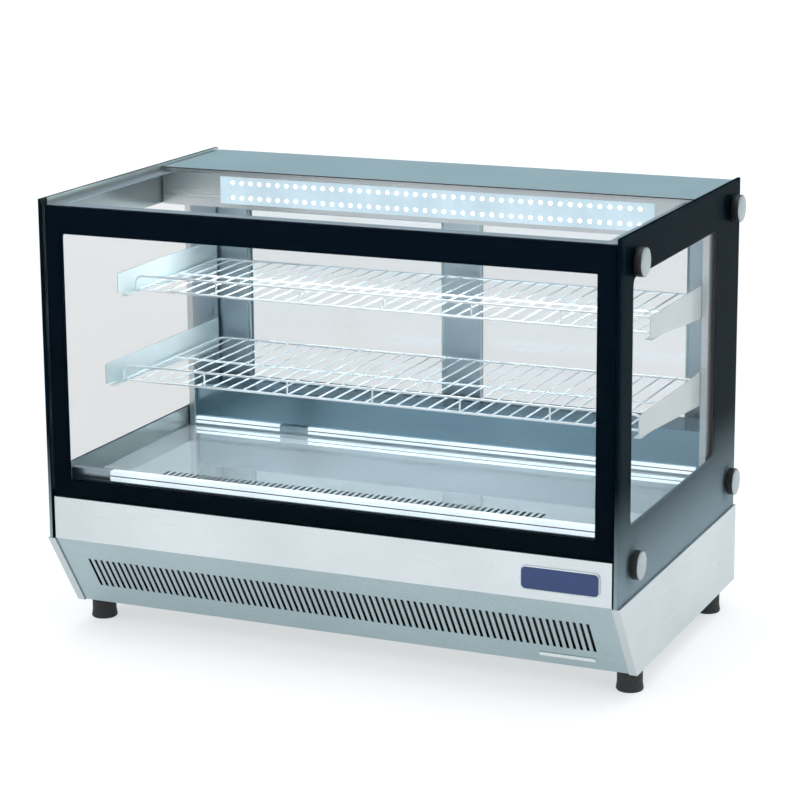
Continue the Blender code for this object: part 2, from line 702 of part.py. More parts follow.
def make_pilaster(side_name, side):
    """Flat upright with a row of hook slots, between the riser's end and the side glazing."""
    low, high = mirrored(side, INSIDE - PILASTER_THICKNESS, INSIDE)
    upright = block(
        f"pilaster_{side_name}",
        "aluminium",
        (low, PILASTER_FRONT_Y, DECK_Z + GAP),
        (high, RISER_BACK_Y, HEADER_BOTTOM_Z - GAP),
    )
    face = side * (INSIDE - PILASTER_THICKNESS)
    near, far = PILASTER_SLOT_Y
    boxes = []
    for index in range(PILASTER_SLOTS):
        z = PILASTER_SLOT_FIRST_Z + index * PILASTER_SLOT_PITCH
        slot_low = (face - PILASTER_SLOT_DEPTH, near, z)
        boxes.append((slot_low, (face + PILASTER_SLOT_DEPTH, far, z + PILASTER_SLOT_LENGTH)))
    boolean(upright, make_cutter(f"pilaster_cutter_{side_name}", boxes))


def make_arm(shelf_name, side_name, side):
    """Tapered side arm of sheet steel with a ledge turned in under the shelf."""
    level = SHELVES[shelf_name]
    inner = INSIDE - PILASTER_THICKNESS - GAP
    low, high = mirrored(side, inner - ARM_THICKNESS, inner)
    back = RISER_BACK_Y - ARM_BACK_GAP
    top = level["arm_top"]
    arm_outline = [
        (level["arm_front"], top - ARM_FRONT_HEIGHT),
        (ARM_KNEE_Y, top - ARM_BACK_HEIGHT),
        (back, top - ARM_BACK_HEIGHT),
        (back, top),
        (level["arm_front"], top),
    ]
    arm = sheet(f"arm_{shelf_name}_{side_name}", "satin_steel", "side", [arm_outline], low, high)
    ledge_top = level["z"] - RAIL / 2 - GAP
    ledge_x = mirrored(side, inner - ARM_THICKNESS - LEDGE, inner - ARM_THICKNESS / 2)
    ledge_low = (ledge_x[0], level["arm_front"] + LEDGE_SHORT, ledge_top - LEDGE_THICKNESS)
    ledge_high = (ledge_x[1], back - LEDGE_SHORT, ledge_top)
    ledge = make_cutter(f"ledge_{shelf_name}_{side_name}", [(ledge_low, ledge_high)])
    boolean(arm, ledge, "UNION")


def make_shelf(shelf_name):
    """Wire shelf as one flat lattice, with a raised guard rail over its front rail."""
    level = SHELVES[shelf_name]
    front, back, half_x = level["front"], SHELF_BACK_Y, SHELF_HALF_WIDTH
    low, high = level["z"] - RAIL / 2, level["z"] + RAIL / 2
    lattice = block(f"shelf_{shelf_name}", "chrome", (-half_x, front, low), (half_x, back, high))
    bays = round(2 * half_x / WIRE_PITCH)
    pitch = (2 * half_x - WIRE) / bays
    middle = (front + back) / 2
    rails = [front + RAIL / 2, middle, back - RAIL / 2]
    holes = []
    for index in range(bays):
        x = -half_x + index * pitch + WIRE
        for near, far in zip(rails, rails[1:]):
            hole_low = (x, near + RAIL / 2, low - RAIL)
            holes.append((hole_low, (x + pitch - WIRE, far - RAIL / 2, high + RAIL)))
    boolean(lattice, make_cutter(f"bays_{shelf_name}", holes))
    guard_high = high + GUARD_RISE
    boxes = []
    for x in row_of(GUARD_STUBS, (2 * half_x - RAIL) / (GUARD_STUBS - 1)):
        stub_low = (x - RAIL / 2, front, high - RAIL / 2)
        boxes.append((stub_low, (x + RAIL / 2, front + RAIL, guard_high - RAIL / 2)))
    guard_rail = ((-half_x, front, guard_high - RAIL), (half_x, front + RAIL, guard_high))
    boolean(lattice, make_cutter(f"stubs_{shelf_name}", boxes), "UNION")
    boolean(lattice, make_cutter(f"guard_{shelf_name}", [guard_rail]), "UNION")


def make_light_bars():
    """Front bar with an upright that stands on the deck, and a bar against the riser's foot."""
    front, back = FRONT_BAR_Y
    bottom, top = FRONT_BAR_Z
    foot_z = DECK_Z + GAP
    points = [
        (front, foot_z),
        (front + FRONT_BAR_FOOT, foot_z),
        (front + FRONT_BAR_FOOT, bottom),
        (back, bottom),
        (back, top),
        (front, top),
    ]
    profile_along_x("led_bar_front", "light", points, FRONT_BAR_HALF)
    end = INSIDE - PILASTER_THICKNESS - 3 * GAP
    low = (-end, RISER_FRONT_Y - REAR_BAR_DEPTH, DECK_Z + GAP)
    block("led_bar_rear", "light", low, (end, RISER_FRONT_Y - GAP, DECK_Z + REAR_BAR_HEIGHT))


def make_plaque():
    corners = list(zip(BADGE_X, BADGE_Z))
    outline = rounded_rectangle(*corners, BADGE_RADIUS)
    back = FRONT_Y + FASCIA_RECESS - GAP
    sheet("badge", "plaque", "front", [outline], back - BADGE_THICKNESS, back)


def make_duct():
    """Open tray under the deck that carries the warm air from the deck slots to the riser."""
    half_x, wall = DUCT_HALF_WIDTH, STEEL
    low = (-half_x, DUCT_Y[0], DUCT_BOTTOM_Z)
    high = (half_x, DUCT_Y[1], DECK_Z - STEEL - GAP)
    tray = block("air_duct", "satin_steel", low, high)
    hollow_low = tuple(value + wall for value in low)
    hollow_high = (high[0] - wall, high[1] - wall, high[2] + CUT)
    boolean(tray, make_cutter("duct_hollow", [(hollow_low, hollow_high)]))


def make_fan():
    """Axial fan in a bulkhead across the duct; the shaft runs along Y."""
    wall = STEEL + GAP
    low_x, high_x = -DUCT_HALF_WIDTH + wall, DUCT_HALF_WIDTH - wall
    edge = rectangle((low_x, DUCT_BOTTOM_Z + wall), (high_x, DECK_Z - STEEL - 2 * GAP))
    hole = circle((0, FAN_Z), FAN_RADIUS + FAN_TIP_GAP, ROUND_SIDES)
    shroud_start, shroud_end = FAN_Y - SHROUD_HALF, FAN_Y + SHROUD_HALF
    sheet("fan_shroud", "satin_steel", "front", [edge, hole], shroud_start, shroud_end)
    along_y = (math.radians(-90), 0, 0)
    body = [
        (0, 0),
        (SHAFT_RADIUS, 0),
        (SHAFT_RADIUS, SHAFT_LENGTH),
        (MOTOR_RADIUS, SHAFT_LENGTH),
        (MOTOR_RADIUS, MOTOR_LENGTH),
        (0, MOTOR_LENGTH),
    ]
    motor_y = FAN_Y + HUB_HALF + GAP
    motor_place = (0, motor_y, FAN_Z)
    motor = turned("fan_motor", "painted_motor", body, SMALL_ROUND_SIDES, motor_place, along_y)
    reach = FAN_RADIUS + BRACE_PAST
    leg_start = shroud_end + GAP - motor_y
    braces = {
        "bar": (-reach, reach, BRACE_Z[0]),
        "leg_left": (-reach, BRACE_LEG - reach, leg_start),
        "leg_right": (reach - BRACE_LEG, reach, leg_start),
    }
    for part_name, (low_x, high_x, start) in braces.items():
        low = (low_x, -BRACE_HALF_HEIGHT, start)
        brace = make_cutter(f"motor_{part_name}", [(low, (high_x, BRACE_HALF_HEIGHT, BRACE_Z[1]))])
        brace.location = motor.location
        brace.rotation_euler = along_y
        boolean(motor, brace, "UNION")
    hub = [
        (0, -HUB_HALF),
        (HUB_RADIUS - HUB_EDGE, -HUB_HALF),
        (HUB_RADIUS, 2 * HUB_EDGE - HUB_HALF),
        (HUB_RADIUS, HUB_HALF),
        (0, HUB_HALF),
    ]
    rotor_place = (0, FAN_Y, FAN_Z)
    rotor = turned("fan_rotor", "black_plastic", hub, SMALL_ROUND_SIDES, rotor_place, along_y)
    mesh = bmesh.new()
    for index in range(BLADES):
        add_blade(mesh, 2 * math.pi * index / BLADES)
    bmesh.ops.recalc_face_normals(mesh, faces=mesh.faces)
    bladed = make_helper("blade_set", mesh)
    bladed.location = rotor.location
    bladed.rotation_euler = along_y
    boolean(rotor, bladed, "UNION")


def add_blade(mesh, turn):
    """One flat pitched blade from inside the hub out to the tip, as an eight-cornered solid."""
    spin = Matrix.Rotation(turn, 3, "Z")
    ends = []
    for end in (BLADE_ROOT, BLADE_TIP):
        half, lean = end["half"], math.radians(end["pitch"])
        corners = []
        for across, face in ((-half, -1), (half, -1), (half, 1), (-half, 1)):
            lift = face * BLADE_THICKNESS / 2
            side_step = across * math.cos(lean) - lift * math.sin(lean)
            along = across * math.sin(lean) + lift * math.cos(lean)
            corners.append(mesh.verts.new(spin @ Vector((end["radius"], side_step, along))))
        ends.append(corners)
    root, tip = ends
    mesh.faces.new(root)
    mesh.faces.new(tip[::-1])
    for index in range(4):
        after = (index + 1) % 4
        mesh.faces.new((root[index], tip[index], tip[after], root[after]))


def make_heater():
    """Tubular element between the duct's side walls: three passes, joined by round bends."""
    top_z = TUBE_FIRST_Z + (TUBE_PASSES - 1) * 2 * TUBE_BEND
    end_x = DUCT_HALF_WIDTH - STEEL - GAP
    points = [(-end_x, TUBE_Y, TUBE_FIRST_Z)]
    for index in range(TUBE_PASSES):
        z = TUBE_FIRST_Z + index * 2 * TUBE_BEND
        side = RIGHT if index % 2 == 0 else LEFT
        points.append((-side * TUBE_REACH, TUBE_Y, z))
        points.append((side * TUBE_REACH, TUBE_Y, z))
        for step in range(1, TUBE_BEND_STEPS if z < top_z else 1):
            angle = math.pi * step / TUBE_BEND_STEPS
            x = side * (TUBE_REACH + TUBE_BEND * math.sin(angle))
            points.append((x, TUBE_Y, z + TUBE_BEND * (1 - math.cos(angle))))
    points.append((end_x, TUBE_Y, top_z))
    tube = bpy.data.curves.new("heating_element", "CURVE")
    tube.dimensions = "3D"
    tube.bevel_depth = TUBE_RADIUS
    tube.bevel_resolution = 2
    tube.use_fill_caps = True
    spline = tube.splines.new("POLY")
    spline.points.add(len(points) - 1)
    for point, place_on in zip(spline.points, points):
        point.co = (*place_on, 1)
    tube.materials.append(make_material("heating_element_material", **KINDS["painted_motor"]))
    placed = bpy.data.objects.new("heating_element", tube)
    bpy.context.scene.collection.objects.link(placed)


def make_controls():
    """Open-backed control box, its knob and switch, the LED driver and the cable gland."""
    inner_face = REAR_PANEL_Y - STEEL - GAP
    outer_face = REAR_PANEL_Y + GAP
    floor = FOOT_HEIGHT + STEEL + GAP
    low = (BOX_X[0], BOX_FRONT_Y, floor)
    high = (BOX_X[1], inner_face, BOX_TOP_Z)
    box = block("control_box", "satin_steel", low, high)
    hollow_high = (high[0] - STEEL, high[1] + CUT, high[2] - STEEL)
    hollow = make_cutter("box_hollow", [(tuple(value + STEEL for value in low), hollow_high)])
    boolean(box, hollow)
    driver_low = (DRIVER_X[0], DRIVER_Y[0], floor)
    block("led_driver", "black_plastic", driver_low, (DRIVER_X[1], DRIVER_Y[1], DRIVER_TOP_Z))
    towards_back = (math.radians(-90), 0, 0)
    knob_place = (KNOB_X, outer_face, CONTROLS_Z)
    turned("thermostat_knob", "black_plastic", KNOB_PROFILE, ROUND_SIDES, knob_place, towards_back)
    rocker = [
        (SWITCH_BACK, -SWITCH_HALF_HEIGHT),
        (SWITCH_LOW, -SWITCH_HALF_HEIGHT),
        (SWITCH_HIGH, SWITCH_HALF_HEIGHT),
        (SWITCH_BACK, SWITCH_HALF_HEIGHT),
    ]
    switch = profile_along_x("power_switch", "red_plastic", rocker, SWITCH_HALF_WIDTH)
    switch.location = (SWITCH_X, REAR_PANEL_Y + SWITCH_PIVOT, CONTROLS_Z)
    gland_place = (GLAND_X, outer_face, CONTROLS_Z)
    sides = SMALL_ROUND_SIDES
    turned("cable_gland", "black_plastic", GLAND_PROFILE, sides, gland_place, towards_back)


def build():
    clear_scene()
    make_feet()
    make_base()
    make_deck()
    make_riser()
    make_front_glazing()
    for side_name, side in SIDES.items():
        make_side_glazing(side_name, side)
        make_pilaster(side_name, side)
    make_top()
    make_header()
    channel_middles = make_tracks()
    for (side_name, side), middle_y in zip(SIDES.items(), channel_middles):
        make_door(side_name, side, middle_y)
    for shelf_name in SHELVES:
        make_shelf(shelf_name)
        for side_name, side in SIDES.items():
            make_arm(shelf_name, side_name, side)
    make_light_bars()
    make_plaque()
    make_duct()
    make_fan()
    make_heater()
    make_controls()


build()
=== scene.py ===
"""Looks for the counter-top food display case, in metres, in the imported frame: front towards -Y, +Z up."""

import math

import bmesh
import bpy
from mathutils import Matrix, Vector


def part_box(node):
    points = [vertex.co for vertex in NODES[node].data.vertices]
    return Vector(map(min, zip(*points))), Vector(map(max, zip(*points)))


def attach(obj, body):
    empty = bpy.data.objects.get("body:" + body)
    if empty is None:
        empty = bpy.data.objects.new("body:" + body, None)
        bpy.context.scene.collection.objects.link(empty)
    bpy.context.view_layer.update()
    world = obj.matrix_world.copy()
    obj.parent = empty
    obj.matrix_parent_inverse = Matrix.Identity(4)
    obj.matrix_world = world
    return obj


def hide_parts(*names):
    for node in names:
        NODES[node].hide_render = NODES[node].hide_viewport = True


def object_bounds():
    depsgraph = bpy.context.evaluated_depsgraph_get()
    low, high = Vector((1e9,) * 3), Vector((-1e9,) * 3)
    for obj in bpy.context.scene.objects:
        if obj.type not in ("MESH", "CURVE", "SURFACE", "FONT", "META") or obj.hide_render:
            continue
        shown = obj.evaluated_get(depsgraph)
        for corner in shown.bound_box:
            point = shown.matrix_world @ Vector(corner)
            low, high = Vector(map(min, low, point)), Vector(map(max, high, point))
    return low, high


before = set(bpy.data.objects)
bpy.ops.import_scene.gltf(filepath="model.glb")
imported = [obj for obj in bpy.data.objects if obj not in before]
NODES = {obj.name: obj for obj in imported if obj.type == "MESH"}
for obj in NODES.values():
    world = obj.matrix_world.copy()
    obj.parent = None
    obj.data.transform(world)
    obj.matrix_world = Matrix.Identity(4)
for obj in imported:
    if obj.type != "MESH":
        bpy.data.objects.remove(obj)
CAD_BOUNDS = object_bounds()

# Camera: a long lens, high and to the right of the front
CAMERA_PLACE = (1.5191, -3.4689, 1.2843)
CAMERA_YAW, CAMERA_PITCH, CAMERA_ROLL = 0.4120, -0.2183, -0.0067
LENS_MM = 116.31
SHIFT_Y = -0.08

# Wire shelves
WIRE_RADIUS = 0.0014
RAIL_RADIUS = 0.0019
WIRE_PITCH = 0.025
BED_RISE = 0.0020  # middle of the rails above the shelf's underside
GUARD_STUBS = 7
CORNER_RADIUS = 0.012
GUARD_BEND = 0.6  # most of the guard's rise that a bend may take

# Lights in the case
BOARD_FACE = 0.0012  # board's lit face behind its front, where the dots stand
DOT_PITCH = 0.0155
DOT_RADIUS, DOT_SIDES = 0.0031, 10
DOT_ROWS = (0.010, 0.009)  # rows from the board's lower and upper edges
DOT_DOME = ((0, -0.0002), (1, -0.0002), (0.8, 0.0007), (0, 0.0011))  # as (share of radius, height)
BAR_END = 0.066  # blank housing at the left end of the front bar
BAR_LINE = 0.0016  # dark seam along the middle of a bar
BAR_BACK = 0.22  # share of a bar's height that is metal, below its lens
BAR_MARGIN = 0.006  # blank right end of a bar's lens
BAR_SEAM_INSET = 0.0008
BAR_EDGE = 0.0005
FRONT_BAR_HEIGHT = 0.019
FRONT_BAR_FOOT = 0.003  # thickness of the upright under the front bar
REAR_BAR_GAP = (-0.275, -0.225)
BAR_CLIPS = 24
BAR_CLIP_HALF = 0.002

# Fixings and trim
NUT_WASHER = 0.0080  # height of the black collar
NUT_EDGE, NUT_FINE, NUT_COLLAR_EDGE = 0.0012, 0.0002, 0.0004
NUT_GROOVE, NUT_GROOVE_FLOOR, NUT_GROOVE_END = 0.0008, 0.0005, 0.0008  # depth, then heights over the collar
NUT_SIDES, NUT_SMOOTH = 48, 50
GASKET = 0.004
TOP_SEAL, TOP_SEAL_RISE, TOP_SEAL_EDGE = 0.006, 0.0008, 0.0002
LINING_START, LINING_FADE = 0.018, 0.001  # where the pale lining begins, behind the front edge
SCREW_RADIUS = 0.0032
SCREW_PROFILE = ((0, 0), (1, 0), (1, 0.0006), (0.7, 0.0016), (0.35, 0.0018), (0.30, 0.0008), (0, 0.0008))
EDGE_BEVEL, SOFT_BEVEL, ROCKER_BEVEL = 0.0004, 0.0008, 0.0006
BEVEL_ANGLE = 40  # edges sharper than this are rounded
FINE_EDGE = 0.0003  # rounding of gaskets, clips and the bezel
WELD_WITHIN = 0.00001
TOWARDS = 0.5  # a face looks along an axis if its normal has more than this share of it

# Filter behind the front slots
LOUVRE_DEPTH = 0.010
FILTER_HALF, FILTER_PLEATS = 0.405, 90
FILTER_DOWN = (0.034, 0.112)  # its upper and lower edges, down the slope from the fold
FILTER_PLEAT, FILTER_THICKNESS = 0.003, 0.002
PANEL_FOOT = 0.016  # return under the slanted front

# Plaque
PLAQUE_RADIUS, PLAQUE_RIM = 0.008, 0.0016
RIM_OUTER_EDGE, RIM_INNER_EDGE, PLAQUE_SUNK = 0.0005, 0.0003, 0.0006
PLAQUE_STEPS = 8  # stretches in each rounded corner

# Door gasket
GASKET_SUNK = 0.0012  # behind the faces of the door's frame

# Rear panel
SCREWS_IN_ROW, SCREW_SIDES = 6, 16
SCREW_INSET_X, SCREW_INSET_LOW, SCREW_INSET_HIGH = 0.014, 0.012, 0.014
DIAL_TICKS = 11
DIAL_START, DIAL_SWEEP = 225, 270  # degrees
TICK_GAP, TICK_HALF, TICK_THICKNESS = 0.002, 0.0004, 0.0003
TICK_LONG, TICK_SHORT, TICK_EVERY = 0.0050, 0.0030, 5
POINTER_HALF, POINTER_DEPTH, POINTER_RISE, POINTER_EDGE = 0.0008, 0.0004, (0.003, 0.0125), 0.0001
BEZEL_HALF_X, BEZEL_HALF_Z, BEZEL_BAND, BEZEL_DEPTH = 0.0088, 0.0128, 0.0030, 0.0016

# Light that the case's own lamps throw inside it
CASE_LIGHT_COLOR = (0.80, 0.93, 1.0)
CASE_LIGHT_SIZE = (0.74, 0.03)
CASE_LIGHTS = (
    ("header_light", (0.0, 0.058, 0.598), (0.0, -0.10, 0.23), 4.2),
    ("riser_light", (0.0, 0.145, 0.250), (0.0, -0.20, 0.45), 0.7),
)

# Studio
STUDIO_TARGET = (0.0, 0.0, 0.35)
STUDIO_LIGHTS = (
    ("front_soft", (-0.6, -3.2, 1.6), (3.0, 2.0), 12),
    ("right_soft", (3.2, -0.6, 1.4), (2.4, 2.0), 8),
    ("top_soft", (0.0, 0.0, 3.4), (3.0, 3.0), 20),
)
BAND = (0.26, 0.31, 0.34, 1.0)  # tone of the sky that the header and the top glass reflect
WORLD_STRENGTH = 1.6
FLOOR_GLOW = 0.55  # keeps the ground white and its shadows faint

LEFT, RIGHT = -1, 1
SIDES = {"left": LEFT, "right": RIGHT}


# ---------------------------------------------------------------- materials

# How far a grain is drawn out along each axis
ALONG_X, ALONG_Y, ALONG_Z = (0.15, 8.0, 8.0), (8.0, 0.15, 8.0), (8.0, 8.0, 0.15)
EVEN = (1.0, 1.0, 1.0)
NOISE_LOW, NOISE_HIGH = 0.3, 0.7  # most of a noise texture's values lie between these


def new_material(name):
    made = bpy.data.materials.new(name)
    made.use_nodes = True
    return made, made.node_tree.nodes, made.node_tree.links, made.node_tree.nodes["Principled BSDF"]


def grain(nodes, links, scale, stretch, detail=3.0):
    """Noise in object space, drawn out by stretch along each axis."""
    place = nodes.new("ShaderNodeTexCoord")
    mapping = nodes.new("ShaderNodeMapping")
    mapping.inputs["Scale"].default_value = stretch
    noise = nodes.new("ShaderNodeTexNoise")
    noise.inputs["Scale"].default_value = scale
    noise.inputs["Detail"].default_value = detail
    links.new(place.outputs["Object"], mapping.inputs["Vector"])
    links.new(mapping.outputs["Vector"], noise.inputs["Vector"])
    return noise.outputs["Fac"]


def spread(nodes, links, value, low, high):
    """A noise value drawn out to the range from low to high."""
    mapped = nodes.new("ShaderNodeMapRange")
    mapped.inputs["From Min"].default_value = NOISE_LOW
    mapped.inputs["From Max"].default_value = NOISE_HIGH
    mapped.inputs["To Min"].default_value = low
    mapped.inputs["To Max"].default_value = high
    links.new(value, mapped.inputs["Value"])
    return mapped.outputs["Result"]


def shades(nodes, links, value, dark, light):
    """A colour between dark and light that follows a noise value."""
    ramp = nodes.new("ShaderNodeValToRGB")
    ramp.color_ramp.elements[0].position = NOISE_LOW
    ramp.color_ramp.elements[1].position = NOISE_HIGH
    ramp.color_ramp.elements[0].color = (*dark, 1.0)
    ramp.color_ramp.elements[1].color = (*light, 1.0)
    links.new(value, ramp.inputs["Fac"])
    return ramp.outputs["Color"]


def bump(nodes, links, shader, value, strength, distance):
    relief = nodes.new("ShaderNodeBump")
    relief.inputs["Strength"].default_value = strength
    relief.inputs["Distance"].default_value = distance
    links.new(value, relief.inputs["Height"])
    links.new(relief.outputs["Normal"], shader.inputs["Normal"])


def brushed(name, dark, light, roughness, stretch, metallic=1.0):
    """Sheet metal with a fine directional grain and faint broad clouding."""
    made, nodes, links, shader = new_material(name)
    fine = grain(nodes, links, 60.0, stretch)
    broad = grain(nodes, links, 6.0, EVEN)
    shader.inputs["Metallic"].default_value = metallic
    links.new(shades(nodes, links, broad, dark, light), shader.inputs["Base Color"])
    links.new(spread(nodes, links, fine, *roughness), shader.inputs["Roughness"])
    bump(nodes, links, shader, fine, 0.06, 0.0002)
    return made


def moulded(name, dark, light, roughness, scale=240.0, relief=0.15, coat=0.0):
    """Plastic, rubber or enamel: fine texture, slightly uneven colour."""
    made, nodes, links, shader = new_material(name)
    fine = grain(nodes, links, scale, EVEN, 5.0)
    broad = grain(nodes, links, 9.0, EVEN)
    links.new(shades(nodes, links, broad, dark, light), shader.inputs["Base Color"])
    links.new(spread(nodes, links, fine, *roughness), shader.inputs["Roughness"])
    shader.inputs["Coat Weight"].default_value = coat
    shader.inputs["Coat Roughness"].default_value = 0.04
    bump(nodes, links, shader, fine, relief, 0.0003)
    return made


def graded(nodes, links, axis, start, end, first, second, interpolation="LINEAR"):
    """A colour that runs from first to second between two places along an axis."""
    place = nodes.new("ShaderNodeTexCoord")
    parts = nodes.new("ShaderNodeSeparateXYZ")
    share = nodes.new("ShaderNodeMapRange")
    share.interpolation_type = interpolation
    share.inputs["From Min"].default_value = start
    share.inputs["From Max"].default_value = end
    blend = nodes.new("ShaderNodeValToRGB")
    blend.color_ramp.elements[0].color = (*first, 1.0)
    blend.color_ramp.elements[1].color = (*second, 1.0)
    links.new(place.outputs["Object"], parts.inputs["Vector"])
    links.new(parts.outputs[axis], share.inputs["Value"])
    links.new(share.outputs["Result"], blend.inputs["Fac"])
    return blend.outputs["Color"]


def printed(name, dark, light, low_z, high_z):
    """Smooth black printing behind glass, paler towards its lower edge as a painted reflection."""
    made, nodes, links, shader = new_material(name)
    tone = graded(nodes, links, "Z", high_z, low_z, dark, light, "SMOOTHSTEP")
    links.new(tone, shader.inputs["Base Color"])
    uneven = grain(nodes, links, 5.0, EVEN)
    links.new(spread(nodes, links, uneven, 0.10, 0.16), shader.inputs["Roughness"])
    shader.inputs["Specular IOR Level"].default_value = 0.0
    return made


def border_lining(name, dark, pale, front_y):
    """Pale satin lining on the inside of a border, black along the front edge of the glass."""
    made, nodes, links, shader = new_material(name)
    start = front_y + LINING_START
    tone = graded(nodes, links, "Y", start, start + LINING_FADE, dark, pale)
    links.new(tone, shader.inputs["Base Color"])
    uneven = grain(nodes, links, 5.0, EVEN)
    links.new(spread(nodes, links, uneven, 0.14, 0.20), shader.inputs["Roughness"])
    shader.inputs["Metallic"].default_value = 0.4
    return made


def clear_glass(name, tint, facing, grazing):
    """Thin pane that dims what lies behind it a little, and reflects more towards grazing."""
    made, nodes, links, shader = new_material(name)
    weight = nodes.new("ShaderNodeLayerWeight")
    weight.inputs["Blend"].default_value = 0.5
    steeper = nodes.new("ShaderNodeMath")
    steeper.operation = "POWER"
    steeper.inputs[1].default_value = 5.0
    amount = nodes.new("ShaderNodeMapRange")
    amount.inputs["To Min"].default_value = facing
    amount.inputs["To Max"].default_value = grazing
    links.new(weight.outputs["Facing"], steeper.inputs[0])
    links.new(steeper.outputs["Value"], amount.inputs["Value"])
    links.new(amount.outputs["Result"], shader.inputs["Alpha"])
    smears = grain(nodes, links, 3.0, EVEN)
    paler = tuple(min(1.0, channel * 1.06) for channel in tint)
    links.new(shades(nodes, links, smears, tint, paler), shader.inputs["Base Color"])
    links.new(spread(nodes, links, smears, 0.015, 0.045), shader.inputs["Roughness"])
    shader.inputs["Metallic"].default_value = 0.85
    return made


def lit(name, color, strength, body=1.0):
    """Diffuser that glows a little unevenly along its length."""
    made, nodes, links, shader = new_material(name)
    uneven = grain(nodes, links, 14.0, EVEN)
    glow = spread(nodes, links, uneven, strength * 0.9, strength * 1.1)
    lighter = tuple(channel * body for channel in color)
    dimmer = tuple(channel * 0.9 for channel in lighter)
    links.new(glow, shader.inputs["Emission Strength"])
    shader.inputs["Emission Color"].default_value = (*color, 1.0)
    links.new(shades(nodes, links, uneven, dimmer, lighter), shader.inputs["Base Color"])
    shader.inputs["Roughness"].default_value = 0.35
    return made


STEEL = brushed("brushed_steel", (0.36, 0.46, 0.49), (0.41, 0.51, 0.54), (0.24, 0.36), ALONG_X)
# Lighter copy of the steel for faces that catch more light: painted light.
PAINTED_LIGHT_STEEL = brushed("steel_painted_light", (0.56, 0.60, 0.62), (0.63, 0.67, 0.69), (0.26, 0.38), ALONG_X)
SIDE_STEEL = brushed("side_steel", (0.50, 0.56, 0.58), (0.57, 0.62, 0.64), (0.26, 0.38), ALONG_Y)
# Darker copy of the steel for the header's top, bottom and back: painted shade.
PAINTED_SHADE_HEADER_STEEL = brushed("header_steel_painted_shade", (0.34, 0.49, 0.53), (0.38, 0.53, 0.57), (0.30, 0.42), ALONG_X)
RISER_STEEL = brushed("riser_steel", (0.20, 0.31, 0.38), (0.24, 0.35, 0.42), (0.14, 0.22), ALONG_X)
ARM_STEEL = brushed("arm_steel", (0.70, 0.78, 0.78), (0.78, 0.86, 0.86), (0.16, 0.26), ALONG_Y, 0.6)
CAP_STEEL = brushed("cap_steel", (0.30, 0.36, 0.38), (0.36, 0.42, 0.44), (0.24, 0.34), EVEN)
MIRROR = brushed("mirror_steel", (0.80, 0.86, 0.88), (0.86, 0.92, 0.94), (0.02, 0.05), ALONG_X, 0.70)
ALUMINIUM = brushed("aluminium", (0.36, 0.44, 0.49), (0.44, 0.52, 0.57), (0.28, 0.40), ALONG_Z)
CHROME = brushed("chrome_wire", (0.88, 0.94, 0.97), (0.93, 0.98, 1.0), (0.10, 0.18), EVEN, 0.55)
BLACK = printed("front_border", (0.001, 0.003, 0.007), (0.001, 0.002, 0.004), 0.22, 0.66)
# Side border: near black at the top, greyer towards the bottom, a painted reflection of the floor on the
# print.
SIDE_BLACK_PAINTED_REFLECTION = printed("side_border_painted_reflection", (0.001, 0.006, 0.010), (0.235, 0.310, 0.345), 0.14, 0.33)
BORDER_BACK = border_lining("border_lining", (0.002, 0.010, 0.014), (0.64, 0.73, 0.72), CAD_BOUNDS[0][1])
RUBBER = moulded("rubber", (0.008, 0.008, 0.009), (0.016, 0.016, 0.017), (0.55, 0.75), relief=0.3)
PLASTIC = moulded("black_plastic", (0.010, 0.010, 0.012), (0.020, 0.020, 0.022), (0.38, 0.52))
RED = moulded("red_plastic", (0.40, 0.015, 0.010), (0.48, 0.025, 0.018), (0.25, 0.38), relief=0.05, coat=0.4)
BLUE = moulded("plaque_blue", (0.002, 0.022, 0.105), (0.004, 0.030, 0.140), (0.14, 0.24), 240.0, 0.02, 0.2)
SEAL = moulded("pale_seal", (0.34, 0.42, 0.43), (0.40, 0.48, 0.49), (0.40, 0.55), relief=0.05)
WHITE = moulded("white_plate", (0.62, 0.66, 0.67), (0.72, 0.76, 0.77), (0.35, 0.50), relief=0.05)
ENAMEL = moulded("dark_enamel", (0.06, 0.07, 0.08), (0.10, 0.11, 0.12), (0.40, 0.55), relief=0.2)
GLASS = clear_glass("clear_glass", (0.01, 0.035, 0.050), 0.038, 0.07)
DOOR_GLASS = clear_glass("door_glass", (0.08, 0.28, 0.40), 0.14, 0.19)
LIT = lit("lit_diffuser", (0.80, 0.93, 1.0), 1.05, body=0.30)
DOT = lit("led_dot", (0.92, 0.98, 1.0), 6.0)
BOARD = lit("led_board", (0.70, 0.89, 1.0), 0.74, body=0.20)


# ---------------------------------------------------------------- mesh helpers


def publish(name, mesh, materials, body, replaced=(), smooth_degrees=35):
    """Makes a piece of a bmesh, gives it its looks and sets it on its body."""
    bmesh.ops.recalc_face_normals(mesh, faces=mesh.faces)
    data = bpy.data.meshes.new(name)
    mesh.to_mesh(data)
    mesh.free()
    data.shade_smooth()
    data.set_sharp_from_angle(angle=math.radians(smooth_degrees))
    for material in materials:
        data.materials.append(material)
    piece = bpy.data.objects.new(name, data)
    bpy.context.scene.collection.objects.link(piece)
    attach(piece, body)
    if replaced:
        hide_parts(*replaced)
    return piece


def add_box(mesh, low, high, bevel=0.0, material=0):
    """A box between two corners, with its edges rounded if bevel is set."""
    made = bmesh.ops.create_cube(mesh, size=1.0)["verts"]
    for vertex in made:
        for axis in range(3):
            middle = (low[axis] + high[axis]) / 2
            vertex.co[axis] = middle + vertex.co[axis] * (high[axis] - low[axis])
    faces = {face for vertex in made for face in vertex.link_faces}
    for face in faces:
        face.material_index = material
    if bevel:
        edges = list({edge for face in faces for edge in face.edges})
        rounding = {"offset": bevel, "segments": 2, "profile": 0.5, "material": material}
        bmesh.ops.bevel(mesh, geom=edges, affect="EDGES", **rounding)


